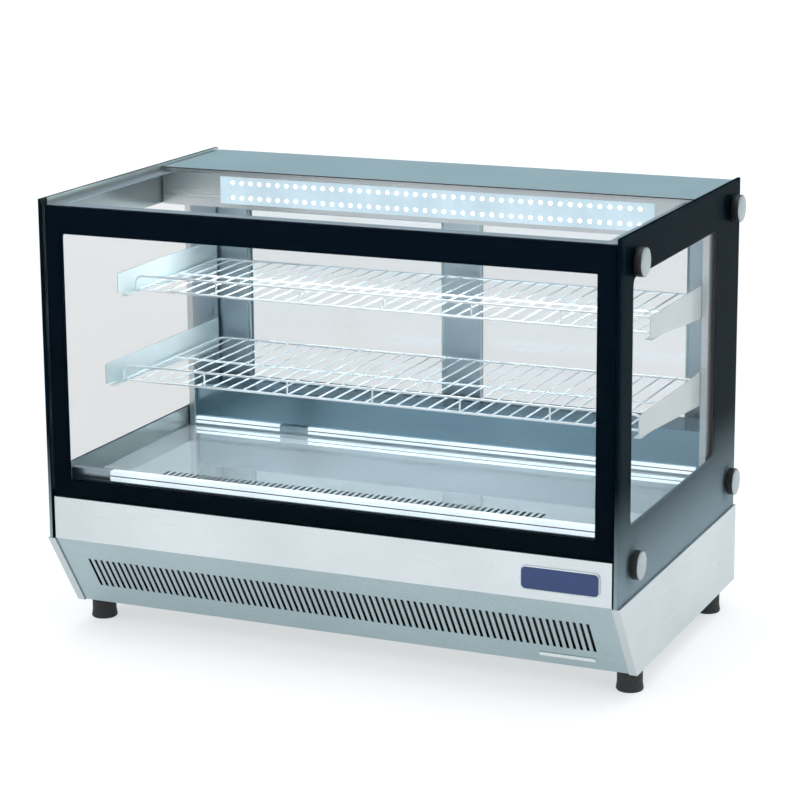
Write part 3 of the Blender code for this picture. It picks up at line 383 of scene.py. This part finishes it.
def add_turned(mesh, profile, segments, to_world, material_of):
    """A solid of revolution about local Z; material_of gives each ring's material from its two heights."""
    rings = []
    for radius, z in profile:
        if radius == 0:
            rings.append([mesh.verts.new(to_world @ Vector((0, 0, z)))])
            continue
        turns = [2 * math.pi * step / segments for step in range(segments)]
        spots = [Vector((radius * math.cos(t), radius * math.sin(t), z)) for t in turns]
        rings.append([mesh.verts.new(to_world @ spot) for spot in spots])
    for (low, high), (start, end) in zip(zip(rings, rings[1:]), zip(profile, profile[1:])):
        for step in range(segments):
            after = (step + 1) % segments
            near = [low[step % len(low)], low[after % len(low)]]
            far = [high[after % len(high)], high[step % len(high)]]
            face = mesh.faces.new(list(dict.fromkeys(near + far)))
            face.material_index = material_of(start, end)


def sized(profile, radius):
    """An outline of (share of the radius, height) points at its real radius."""
    return [(share * radius, height) for share, height in profile]


def add_wire(mesh, points, radius, sides=8, closed=False):
    """A round wire through points, with flat ends."""
    count = len(points)
    rings = []
    side_axis = None
    for index, point in enumerate(points):
        before = points[index - 1] if index or closed else point
        after = points[(index + 1) % count] if index < count - 1 or closed else point
        forward = (after - before).normalized()
        if side_axis is None:
            side_axis = forward.orthogonal().normalized()
        side_axis = (side_axis - forward * side_axis.dot(forward)).normalized()
        other = forward.cross(side_axis)
        ring = []
        for step in range(sides):
            turn = 2 * math.pi * step / sides
            offset = side_axis * math.cos(turn) + other * math.sin(turn)
            ring.append(mesh.verts.new(point + offset * radius))
        rings.append(ring)
    pairs = list(zip(rings, rings[1:]))
    if closed:
        pairs.append((rings[-1], rings[0]))
    for low, high in pairs:
        for step in range(sides):
            after = (step + 1) % sides
            mesh.faces.new((low[step], low[after], high[after], high[step]))
    if not closed:
        mesh.faces.new(rings[0][::-1])
        mesh.faces.new(rings[-1])


def arc(centre, start, end, steps=6):
    """Points on the quarter turn round centre from the offset start to the offset end."""
    turns = [math.pi / 2 * step / steps for step in range(steps + 1)]
    return [centre + start * math.cos(t) + end * math.sin(t) for t in turns]


def dress(name, material, bevel=EDGE_BEVEL):
    """Gives a CAD node its looks, and softens its edges."""
    node = NODES[name]
    node.data.materials.clear()
    node.data.materials.append(material)
    if bevel:
        weld = node.modifiers.new("weld", "WELD")
        weld.merge_threshold = WELD_WITHIN
        edges = node.modifiers.new("edges", "BEVEL")
        edges.width = bevel
        edges.segments = 2
        edges.limit_method = "ANGLE"
        edges.angle_limit = math.radians(BEVEL_ANGLE)
        edges.harden_normals = True


# ---------------------------------------------------------------- pieces


def dress_nodes():
    for name in ("base_pan", "rear_panel", "air_duct", "fan_shroud", "control_box"):
        dress(name, STEEL)
    dress("rear_riser", RISER_STEEL)
    dress("front_panel", STEEL, bevel=0.0)
    # The upright fascia above the fold gets the lighter copy of the steel, the slant below it the plain
    # steel: painted light.
    NODES["front_panel"].data.materials.append(PAINTED_LIGHT_STEEL)
    fold_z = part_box("base_side_left")[1].z
    for face in NODES["front_panel"].data.polygons:
        face.material_index = 1 if face.center.z > fold_z else 0
    for side_name, side in SIDES.items():
        dress(f"base_side_{side_name}", SIDE_STEEL)
        # Pilasters take the lighter copy of the steel: painted light.
        dress(f"pilaster_{side_name}", PAINTED_LIGHT_STEEL)
        dress(f"door_frame_{side_name}", ALUMINIUM, bevel=SOFT_BEVEL)
        dress(f"door_glass_{side_name}", DOOR_GLASS, bevel=0.0)
        for level in ("upper", "lower"):
            dress(f"arm_{level}_{side_name}", ARM_STEEL)
        for layer in ("outer", "inner"):
            dress(f"side_glass_{side_name}_{layer}", GLASS, bevel=0.0)
        border = NODES[f"side_glass_{side_name}_border"]
        # Outer faces: black print with a painted reflection, paler towards the bottom.
        dress(f"side_glass_{side_name}_border", SIDE_BLACK_PAINTED_REFLECTION, bevel=0.0)
        border.data.materials.append(BORDER_BACK)
        for face in border.data.polygons:
            face.material_index = 1 if face.normal.x * side < -TOWARDS else 0
    for name in ("top_glass", "front_glass_outer", "front_glass_inner"):
        dress(name, GLASS, bevel=0.0)
    dress("front_glass_border", BLACK, bevel=0.0)
    dress("rear_header", PAINTED_SHADE_HEADER_STEEL, bevel=0.0)
    # The header's front face gets the lighter copy of the steel and its other faces the darker copy: painted
    # light and painted shade.
    NODES["rear_header"].data.materials.append(PAINTED_LIGHT_STEEL)
    for face in NODES["rear_header"].data.polygons:
        face.material_index = 1 if face.normal.y < -TOWARDS else 0
    dress("deck_panel", MIRROR, bevel=0.0)
    for name in ("door_track_lower", "door_track_upper", "top_border"):
        dress(name, ALUMINIUM)
    for name in ("foot_front_left", "foot_front_right", "foot_rear_left", "foot_rear_right"):
        dress(name, RUBBER, bevel=SOFT_BEVEL)
    for name in ("fan_rotor", "led_driver", "thermostat_knob", "cable_gland"):
        dress(name, PLASTIC)
    for name in ("fan_motor", "heating_element"):
        dress(name, ENAMEL)
    dress("power_switch", RED, bevel=ROCKER_BEVEL)
    dress("blank_plate", WHITE, bevel=0.0)


def make_wire_shelf(level):
    """Round cross wires on three rails, with a guard rail held by stubs along the front."""
    low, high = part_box(f"shelf_{level}")
    bed_z = low.z + BED_RISE
    wire_z = bed_z + RAIL_RADIUS - WIRE_RADIUS
    left, right = low.x + RAIL_RADIUS, high.x - RAIL_RADIUS
    front, back = low.y + RAIL_RADIUS, high.y - RAIL_RADIUS
    mesh = bmesh.new()
    corners = [(right, back), (left, back), (left, front), (right, front)]
    outline = []
    for index, (x, y) in enumerate(corners):
        turn = math.pi / 2 * index
        inward = Vector((-1 if x > 0 else 1, -1 if y == back else 1, 0)) * CORNER_RADIUS
        centre = Vector((x, y, bed_z)) + inward
        start = Vector((math.cos(turn), math.sin(turn), 0)) * CORNER_RADIUS
        end = Vector((-math.sin(turn), math.cos(turn), 0)) * CORNER_RADIUS
        outline += arc(centre, start, end)
    add_wire(mesh, outline, RAIL_RADIUS, closed=True)
    middle_y = (front + back) / 2
    add_wire(mesh, [Vector((left, middle_y, bed_z)), Vector((right, middle_y, bed_z))], RAIL_RADIUS)
    wires = round((right - left) / WIRE_PITCH)
    pitch = (right - left) / wires
    for index in range(1, wires):
        x = left + index * pitch
        add_wire(mesh, [Vector((x, front, wire_z)), Vector((x, back, wire_z))], WIRE_RADIUS)
    guard_z = high.z - RAIL_RADIUS
    rise = guard_z - bed_z
    bend = min(CORNER_RADIUS, rise * GUARD_BEND)
    up, inwards = Vector((0, 0, 1)) * bend, Vector((1, 0, 0)) * bend
    guard = [Vector((left, front, bed_z))]
    guard += arc(Vector((left + bend, front, guard_z - bend)), -inwards, up)
    guard += arc(Vector((right - bend, front, guard_z - bend)), up, inwards)
    guard += [Vector((right, front, bed_z))]
    add_wire(mesh, guard, RAIL_RADIUS)
    for index in range(1, GUARD_STUBS - 1):
        x = left + index * (right - left) / (GUARD_STUBS - 1)
        add_wire(mesh, [Vector((x, front, bed_z)), Vector((x, front, guard_z))], WIRE_RADIUS)
    publish(f"wire_shelf_{level}", mesh, [CHROME], f"shelf_{level}", [f"shelf_{level}"])


def make_cap_nuts():
    """Black collar with a satin cap, a chamfer round its face."""
    for name in [n for n in NODES if n.startswith("cap_nut_")]:
        low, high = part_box(name)
        side = RIGHT if low.x > 0 else LEFT
        centre_y, centre_z = (low.y + high.y) / 2, (low.z + high.z) / 2
        radius, depth = (high.z - low.z) / 2, high.x - low.x
        foot_x = low.x if side == RIGHT else high.x
        outward = Matrix.Rotation(side * math.pi / 2, 4, "Y")
        to_world = Matrix.Translation((foot_x, centre_y, centre_z)) @ outward
        groove, cap = radius - NUT_GROOVE, radius - NUT_FINE
        profile = [
            (0, 0),
            (radius - NUT_COLLAR_EDGE, 0),
            (radius, NUT_COLLAR_EDGE),
            (radius, NUT_WASHER - NUT_COLLAR_EDGE),
            (groove, NUT_WASHER),
            (groove, NUT_WASHER + NUT_GROOVE_FLOOR),
            (cap, NUT_WASHER + NUT_GROOVE_END),
            (cap, depth - NUT_EDGE),
            (radius - NUT_EDGE, depth - NUT_FINE),
            (radius - 2 * NUT_EDGE, depth),
            (0, depth),
        ]
        mesh = bmesh.new()
        cap_start = depth - NUT_EDGE
        add_turned(mesh, profile, NUT_SIDES, to_world, lambda a, b, limit=cap_start: 1 if b[1] > limit else 0)
        publish(f"fitted_{name}", mesh, [PLASTIC, CAP_STEEL], "root", [name], NUT_SMOOTH)


def make_led_board():
    """Lit board on the header with two rows of bright dots."""
    low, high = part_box("led_board_top")
    mesh = bmesh.new()
    face_y = low.y + BOARD_FACE
    add_box(mesh, (low.x, face_y, low.z), high, bevel=EDGE_BEVEL)
    publish("led_board", mesh, [BOARD], "root", ["led_board_top"])
    mesh = bmesh.new()
    dots = int((high.x - low.x - DOT_PITCH) / DOT_PITCH)
    start_x = (low.x + high.x - (dots - 1) * DOT_PITCH) / 2
    dome = sized(DOT_DOME, DOT_RADIUS)
    for row_z in (low.z + DOT_ROWS[0], high.z - DOT_ROWS[1]):
        for index in range(dots):
            place = Matrix.Translation((start_x + index * DOT_PITCH, face_y, row_z))
            to_world = place @ Matrix.Rotation(math.pi / 2, 4, "X")
            add_turned(mesh, dome, DOT_SIDES, to_world, lambda a, b: 0)
    publish("led_dots", mesh, [DOT], "root")


def make_light_bar(name, node, blank_left=0.0, gap_x=None, height=None):
    """Bar light: metal housing, two lit lens strips with a dark seam, and blank stretches."""
    low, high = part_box(node)
    mesh = bmesh.new()
    bottom = high.z - height if height else low.z
    if height:
        add_box(mesh, low, (high.x, low.y + FRONT_BAR_FOOT, bottom), bevel=EDGE_BEVEL)
    housing_top = bottom + (high.z - bottom) * BAR_BACK
    add_box(mesh, (low.x, low.y, bottom), (high.x, high.y, housing_top), BAR_EDGE)
    spans = [(low.x + blank_left, high.x - BAR_MARGIN)]
    blanks = [(low.x, low.x + blank_left)] if blank_left else []
    if gap_x:
        spans = [(spans[0][0], gap_x[0]), (gap_x[1], spans[0][1])]
        blanks.append(gap_x)
    for start, end in blanks:
        add_box(mesh, (start, low.y, housing_top), (end, high.y, high.z), BAR_EDGE)
    seam = (housing_top + high.z) / 2
    seam_low, seam_high = seam - BAR_LINE / 2, seam + BAR_LINE / 2
    for start, end in spans:
        add_box(mesh, (start, low.y, housing_top), (end, high.y, seam_low), BAR_EDGE, 1)
        add_box(mesh, (start, low.y + BAR_SEAM_INSET, seam_low), (end, high.y, seam_high), 0.0, 2)
        add_box(mesh, (start, low.y, seam_high), (end, high.y, high.z), BAR_EDGE, 1)
    publish(name, mesh, [ALUMINIUM, LIT, PLASTIC], "root", [node])


def make_top_seal():
    """Black seal over the joint of the top glass and the header."""
    glass_low, glass_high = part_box("top_glass")
    low = (glass_low.x, glass_high.y - TOP_SEAL, glass_high.z)
    high = (glass_high.x, glass_high.y, glass_high.z + TOP_SEAL_RISE)
    mesh = bmesh.new()
    add_box(mesh, low, high, bevel=TOP_SEAL_EDGE)
    publish("top_seal", mesh, [RUBBER], "root")


def make_plaque():
    """Blank blue plaque in a thin steel rim."""
    low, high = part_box("badge")
    radius, rim = PLAQUE_RADIUS, PLAQUE_RIM
    mesh = bmesh.new()

    def ring(inset, y):
        size = radius - inset
        corners = [
            (high.x - radius, high.z - radius),
            (low.x + radius, high.z - radius),
            (low.x + radius, low.z + radius),
            (high.x - radius, low.z + radius),
        ]
        points = []
        for quarter, (x, z) in enumerate(corners):
            for step in range(PLAQUE_STEPS + 1):
                turn = math.pi / 2 * (quarter + step / PLAQUE_STEPS)
                points.append(mesh.verts.new((x + size * math.cos(turn), y, z + size * math.sin(turn))))
        return points

    steps = [
        (0, high.y),
        (0, low.y + RIM_OUTER_EDGE),
        (RIM_OUTER_EDGE, low.y),
        (rim - RIM_INNER_EDGE, low.y),
        (rim, low.y + PLAQUE_SUNK),
    ]
    rings = [ring(inset, y) for inset, y in steps]
    for near, far in zip(rings, rings[1:]):
        for index in range(len(near)):
            after = (index + 1) % len(near)
            mesh.faces.new((near[index], near[after], far[after], far[index])).material_index = 1
    mesh.faces.new(rings[0]).material_index = 1
    mesh.faces.new(rings[-1][::-1]).material_index = 0
    publish("blank_plaque", mesh, [BLUE, SIDE_STEEL], "root", ["badge"])


def make_louvre_filter():
    """Pleated dark filter just behind the front slots."""
    low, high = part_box("front_panel")
    fold = Vector((low.y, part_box("base_side_left")[1].z))
    foot = Vector((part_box("base_pan")[0].y - PANEL_FOOT, low.z))
    slope = (foot - fold).normalized()
    inward = Vector((-slope.y, slope.x))
    mesh = bmesh.new()
    pleats = FILTER_PLEATS
    points = []
    for index in range(pleats + 1):
        x = -FILTER_HALF + 2 * FILTER_HALF * index / pleats
        depth = LOUVRE_DEPTH + (FILTER_PLEAT if index % 2 else 0.0)
        points.append((x, depth))
    rows = []
    for down in FILTER_DOWN:
        for extra in (0.0, FILTER_THICKNESS):
            row = []
            for x, depth in points:
                spot = fold + slope * down + inward * (depth + extra)
                row.append(mesh.verts.new((x, spot.x, spot.y)))
            rows.append(row)
    top_front, top_back, bottom_front, bottom_back = rows
    for index in range(pleats):
        after = index + 1
        mesh.faces.new((top_front[index], top_front[after], bottom_front[after], bottom_front[index]))
        mesh.faces.new((top_back[index], bottom_back[index], bottom_back[after], top_back[after]))
        mesh.faces.new((top_front[index], top_back[index], top_back[after], top_front[after]))
        mesh.faces.new((bottom_front[index], bottom_front[after], bottom_back[after], bottom_back[index]))
    for index in (0, pleats):
        mesh.faces.new((top_front[index], bottom_front[index], bottom_back[index], top_back[index]))
    publish("louvre_filter", mesh, [RUBBER], "root", (), 20)


def make_door_trim(side_name):
    """Pale gasket round both faces of a door's glass."""
    frame_low, frame_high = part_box(f"door_frame_{side_name}")
    low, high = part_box(f"door_glass_{side_name}")
    mesh = bmesh.new()
    for start, end in ((frame_low.y + GASKET_SUNK, low.y), (high.y, frame_high.y - GASKET_SUNK)):
        for z_low, z_high in ((low.z, low.z + GASKET), (high.z - GASKET, high.z)):
            add_box(mesh, (low.x, start, z_low), (high.x, end, z_high), FINE_EDGE)
        for x_low, x_high in ((low.x, low.x + GASKET), (high.x - GASKET, high.x)):
            add_box(mesh, (x_low, start, low.z + GASKET), (x_high, end, high.z - GASKET), FINE_EDGE)
    publish(f"door_gasket_{side_name}", mesh, [SEAL], f"door_{side_name}")


def make_panel_screws():
    """Two rows of round-headed screws along the rear panel."""
    low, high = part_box("rear_panel")
    towards_back = Matrix.Rotation(-math.pi / 2, 4, "X")
    screw = sized(SCREW_PROFILE, SCREW_RADIUS)
    pitch = (high.x - low.x - 2 * SCREW_INSET_X) / (SCREWS_IN_ROW - 1)
    mesh = bmesh.new()
    for index in range(SCREWS_IN_ROW):
        x = low.x + SCREW_INSET_X + index * pitch
        for z in (low.z + SCREW_INSET_LOW, high.z - SCREW_INSET_HIGH):
            to_world = Matrix.Translation((x, high.y, z)) @ towards_back
            add_turned(mesh, screw, SCREW_SIDES, to_world, lambda a, b: 0)
    publish("panel_screws", mesh, [SIDE_STEEL], "root")


def make_dial():
    """Tick marks round the knob, and the pointer on it."""
    panel_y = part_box("rear_panel")[1].y
    low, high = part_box("thermostat_knob")
    centre = Vector(((low.x + high.x) / 2, 0, (low.z + high.z) / 2))
    inner = (high.x - low.x) / 2 + TICK_GAP
    mesh = bmesh.new()
    sweep = math.radians(DIAL_SWEEP)
    for index in range(DIAL_TICKS):
        turn = math.radians(DIAL_START) - sweep * index / (DIAL_TICKS - 1)
        place = Matrix.Translation((centre.x, panel_y, centre.z)) @ Matrix.Rotation(-turn, 4, "Y")
        length = TICK_SHORT if index % TICK_EVERY else TICK_LONG
        first = len(mesh.verts)
        add_box(mesh, (inner, 0.0, -TICK_HALF), (inner + length, TICK_THICKNESS, TICK_HALF))
        mesh.verts.ensure_lookup_table()
        for vertex in mesh.verts[first:]:
            vertex.co = place @ vertex.co
    publish("dial_ticks", mesh, [PLASTIC], "root")
    mesh = bmesh.new()
    pointer_low = (centre.x - POINTER_HALF, high.y - POINTER_DEPTH, centre.z + POINTER_RISE[0])
    pointer_high = (centre.x + POINTER_HALF, high.y, centre.z + POINTER_RISE[1])
    add_box(mesh, pointer_low, pointer_high, POINTER_EDGE)
    publish("knob_pointer", mesh, [WHITE], "thermostat_knob")


def make_switch_bezel():
    """Four bars round the rocker's hole."""
    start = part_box("rear_panel")[1].y
    end = start + BEZEL_DEPTH
    low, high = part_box("power_switch")
    x, z = (low.x + high.x) / 2, (low.z + high.z) / 2
    outer_x, outer_z = BEZEL_HALF_X + BEZEL_BAND, BEZEL_HALF_Z + BEZEL_BAND
    mesh = bmesh.new()
    for side in (LEFT, RIGHT):
        x_low, x_high = sorted((x + side * BEZEL_HALF_X, x + side * outer_x))
        z_low, z_high = sorted((z + side * BEZEL_HALF_Z, z + side * outer_z))
        add_box(mesh, (x_low, start, z - outer_z), (x_high, end, z + outer_z), FINE_EDGE)
        add_box(mesh, (x - BEZEL_HALF_X, start, z_low), (x + BEZEL_HALF_X, end, z_high), FINE_EDGE)
    publish("switch_bezel", mesh, [PLASTIC], "root")


def make_bar_clips():
    """Small clips under the front light bar, between its upright and its back edge."""
    low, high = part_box("led_bar_front")
    bottom = high.z - FRONT_BAR_HEIGHT
    mesh = bmesh.new()
    step = (high.x - low.x) / BAR_CLIPS
    for index in range(BAR_CLIPS):
        x = low.x + (index + 0.5) * step
        clip_low = (x - BAR_CLIP_HALF, low.y + FRONT_BAR_FOOT, low.z)
        add_box(mesh, clip_low, (x + BAR_CLIP_HALF, high.y - BAR_CLIP_HALF, bottom), FINE_EDGE)
    publish("bar_clips", mesh, [ALUMINIUM], "root")


# ---------------------------------------------------------------- stage


def make_floor():
    mesh = bmesh.new()
    bmesh.ops.create_grid(mesh, x_segments=1, y_segments=1, size=30.0)
    data = bpy.data.meshes.new("floor")
    mesh.to_mesh(data)
    mesh.free()
    made, nodes, links, shader = new_material("floor")
    soft = grain(nodes, links, 2.0, EVEN)
    tone = shades(nodes, links, soft, (0.42, 0.42, 0.42), (0.44, 0.44, 0.44))
    links.new(tone, shader.inputs["Base Color"])
    shader.inputs["Roughness"].default_value = 0.9
    shader.inputs["Emission Color"].default_value = (1.0, 1.0, 1.0, 1.0)
    shader.inputs["Emission Strength"].default_value = FLOOR_GLOW
    data.materials.append(made)
    floor = bpy.data.objects.new("floor", data)
    bpy.context.scene.collection.objects.link(floor)


def make_world():
    """White at the horizon, a dark band above it for the steel to reflect, and bright overhead."""
    world = bpy.data.worlds.new("studio")
    world.use_nodes = True
    nodes, links = world.node_tree.nodes, world.node_tree.links
    place = nodes.new("ShaderNodeTexCoord")
    parts = nodes.new("ShaderNodeSeparateXYZ")
    ramp = nodes.new("ShaderNodeValToRGB")
    stops = ramp.color_ramp.elements
    stops[0].position = 0.02
    stops[0].color = (0.62, 0.62, 0.62, 1.0)
    stops[1].position = 1.0
    stops[1].color = (1.0, 1.0, 1.0, 1.0)
    for position, color in ((0.09, BAND), (0.42, BAND), (0.70, (0.90, 0.93, 0.95, 1.0))):
        stops.new(position).color = color
    links.new(place.outputs["Generated"], parts.inputs["Vector"])
    links.new(parts.outputs["Z"], ramp.inputs["Fac"])
    links.new(ramp.outputs["Color"], nodes["Background"].inputs["Color"])
    nodes["Background"].inputs["Strength"].default_value = WORLD_STRENGTH
    bpy.context.scene.world = world


def add_area(name, place, target, size, power, color=(1.0, 1.0, 1.0), mirrored=True):
    """An area light; one that isn't mirrored shows neither itself nor its reflection."""
    light = bpy.data.lights.new(name, "AREA")
    light.shape = "RECTANGLE"
    light.size, light.size_y = size
    light.energy = power
    light.color = color
    lamp = bpy.data.objects.new(name, light)
    lamp.location = place
    lamp.rotation_euler = (Vector(target) - Vector(place)).to_track_quat("-Z", "Y").to_euler()
    lamp.visible_camera = mirrored
    lamp.visible_glossy = mirrored
    bpy.context.scene.collection.objects.link(lamp)


def make_lights():
    for name, place, size, power in STUDIO_LIGHTS:
        add_area(name, place, STUDIO_TARGET, size, power)
    for name, place, target, power in CASE_LIGHTS:
        add_area(name, place, target, CASE_LIGHT_SIZE, power, CASE_LIGHT_COLOR, mirrored=False)


def set_colour():
    """Plain display colours, so that a white surround stays white and printed black stays black."""
    bpy.context.scene.view_settings.view_transform = "Standard"


def make_camera():
    data = bpy.data.cameras.new("camera")
    data.lens = LENS_MM
    data.sensor_width = 36.0
    data.shift_y = SHIFT_Y
    data.clip_end = 100.0
    camera = bpy.data.objects.new("camera", data)
    turn = Matrix.Rotation(CAMERA_YAW, 4, "Z") @ Matrix.Rotation(math.pi / 2 + CAMERA_PITCH, 4, "X")
    camera.matrix_world = Matrix.Translation(CAMERA_PLACE) @ turn @ Matrix.Rotation(CAMERA_ROLL, 4, "Z")
    bpy.context.scene.collection.objects.link(camera)
    bpy.context.scene.camera = camera


def build():
    make_camera()
    set_colour()
    dress_nodes()
    for level in ("upper", "lower"):
        make_wire_shelf(level)
    make_cap_nuts()
    make_led_board()
    make_light_bar("front_light_bar", "led_bar_front", BAR_END, height=FRONT_BAR_HEIGHT)
    make_light_bar("rear_light_bar", "led_bar_rear", gap_x=REAR_BAR_GAP)
    make_bar_clips()
    make_top_seal()
    make_plaque()
    make_louvre_filter()
    for side_name in SIDES:
        make_door_trim(side_name)
    make_panel_screws()
    make_dial()
    make_switch_bezel()
    make_floor()
    make_world()
    make_lights()


build()
